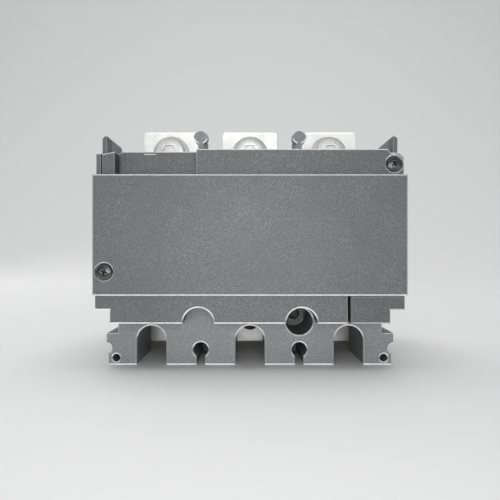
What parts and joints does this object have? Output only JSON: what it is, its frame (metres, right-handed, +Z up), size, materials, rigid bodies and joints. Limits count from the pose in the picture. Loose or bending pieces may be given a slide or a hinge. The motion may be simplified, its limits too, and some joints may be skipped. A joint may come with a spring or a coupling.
{
  "type": "current transformer module for a circuit breaker",
  "caption": "Grey moulded current-transformer module that bolts to a moulded-case breaker, with plated busbar tabs, slide rails, tool arches and a lift-off terminal cover.",
  "frame": {"origin": "middle of the bottom of the bounding box", "axes": "+X right, +Y to the mounting plate (front cover faces -Y), +Z up towards the breaker"},
  "size_m": [0.105, 0.086, 0.0936],
  "materials": {
    "grey_plastic": "fine spark-eroded texture, mid grey",
    "dark_grey_plastic": "fine spark-eroded texture, slightly darker grey",
    "black_plastic": "matt black moulding",
    "black_steel": "black oxide screw",
    "zinc_steel": "zinc plated, semi bright",
    "tinned_copper": "tin plated copper bar, satin",
    "brass": "turned brass",
    "sleeve_plastic": "translucent insulating tube, natural",
    "core_steel": "wound strip core with varnish",
    "bobbin_plastic": "natural nylon",
    "winding_tape": "amber polyester tape over enamelled wire",
    "lead_insulation": "flexible insulated lead"
  },
  "bodies": {
    "housing": {"front_frame": "grey_plastic", "main_housing": "grey_plastic", "rear_base": "grey_plastic", "frame_screws": "black_steel", "rear_screws": "zinc_steel", "cover_insert": "brass", "terminal_block": "black_plastic", "terminal_screws": "zinc_steel", "terminal_clamps": "zinc_steel", "busbar_left": "tinned_copper", "busbar_centre": "tinned_copper", "busbar_right": "tinned_copper", "bar_sleeve_left": "sleeve_plastic", "bar_sleeve_centre": "sleeve_plastic", "bar_sleeve_right": "sleeve_plastic", "ct_core_left": "core_steel", "ct_core_centre": "core_steel", "ct_core_right": "core_steel", "ct_bobbin_left": "bobbin_plastic", "ct_bobbin_centre": "bobbin_plastic", "ct_bobbin_right": "bobbin_plastic", "ct_winding_left": "winding_tape", "ct_winding_centre": "winding_tape", "ct_winding_right": "winding_tape", "secondary_leads_left": "lead_insulation", "secondary_leads_centre": "lead_insulation", "secondary_leads_right": "lead_insulation", "tab_nut_left": "zinc_steel", "tab_nut_centre": "zinc_steel", "tab_nut_right": "zinc_steel", "lower_nut_left": "zinc_steel", "lower_nut_centre": "zinc_steel", "lower_nut_right": "zinc_steel", "nut_carrier_left": "black_plastic", "nut_carrier_centre": "black_plastic", "nut_carrier_right": "black_plastic"},
    "cover": {"front_cover": "grey_plastic"},
    "cover_screw": {"cover_screw": "black_steel"},
    "cap": {"connector_cap": "dark_grey_plastic"},
    "washers_left": {"flat_washer_left": "zinc_steel", "spring_washer_left": "zinc_steel"},
    "bolt_left": {"terminal_bolt_left": "zinc_steel"},
    "washers_centre": {"flat_washer_centre": "zinc_steel", "spring_washer_centre": "zinc_steel"},
    "bolt_centre": {"terminal_bolt_centre": "zinc_steel"},
    "washers_right": {"flat_washer_right": "zinc_steel", "spring_washer_right": "zinc_steel"},
    "bolt_right": {"terminal_bolt_right": "zinc_steel"}
  },
  "joints": [
    {"name": "cover_lift", "type": "slide", "parent": "housing", "child": "cover", "axis": [0, -1, 0], "range_m": [0, 0.03]},
    {"name": "cover_screw_turn", "type": "hinge", "parent": "cover", "child": "cover_screw", "pos_m": [-0.0486, -0.036, 0.0334], "axis": [0, -1, 0], "continuous": true},
    {"name": "cap_slide", "type": "slide", "parent": "housing", "child": "cap", "axis": [0, 0, -1], "range_m": [0, 0.012]},
    {"name": "bolt_left_travel", "type": "slide", "parent": "housing", "child": "washers_left", "axis": [0, -1, 0], "range_m": [0, 0.00625]},
    {"name": "bolt_left_turn", "type": "hinge", "parent": "washers_left", "child": "bolt_left", "pos_m": [-0.035, 0.0214, 0.0836], "axis": [0, -1, 0], "range_deg": [0, 1801]},
    {"name": "bolt_centre_travel", "type": "slide", "parent": "housing", "child": "washers_centre", "axis": [0, -1, 0], "range_m": [0, 0.00625]},
    {"name": "bolt_centre_turn", "type": "hinge", "parent": "washers_centre", "child": "bolt_centre", "pos_m": [0, 0.0214, 0.0836], "axis": [0, -1, 0], "range_deg": [0, 1801]},
    {"name": "bolt_right_travel", "type": "slide", "parent": "housing", "child": "washers_right", "axis": [0, -1, 0], "range_m": [0, 0.00625]},
    {"name": "bolt_right_turn", "type": "hinge", "parent": "washers_right", "child": "bolt_right", "pos_m": [0.035, 0.0214, 0.0836], "axis": [0, -1, 0], "range_deg": [0, 1801]}
  ],
  "couplings": [
    {"joint": "bolt_left_turn", "follows": "bolt_left_travel", "rad_per_m": 5026.5},
    {"joint": "bolt_centre_turn", "follows": "bolt_centre_travel", "rad_per_m": 5026.5},
    {"joint": "bolt_right_turn", "follows": "bolt_right_travel", "rad_per_m": 5026.5}
  ]
}
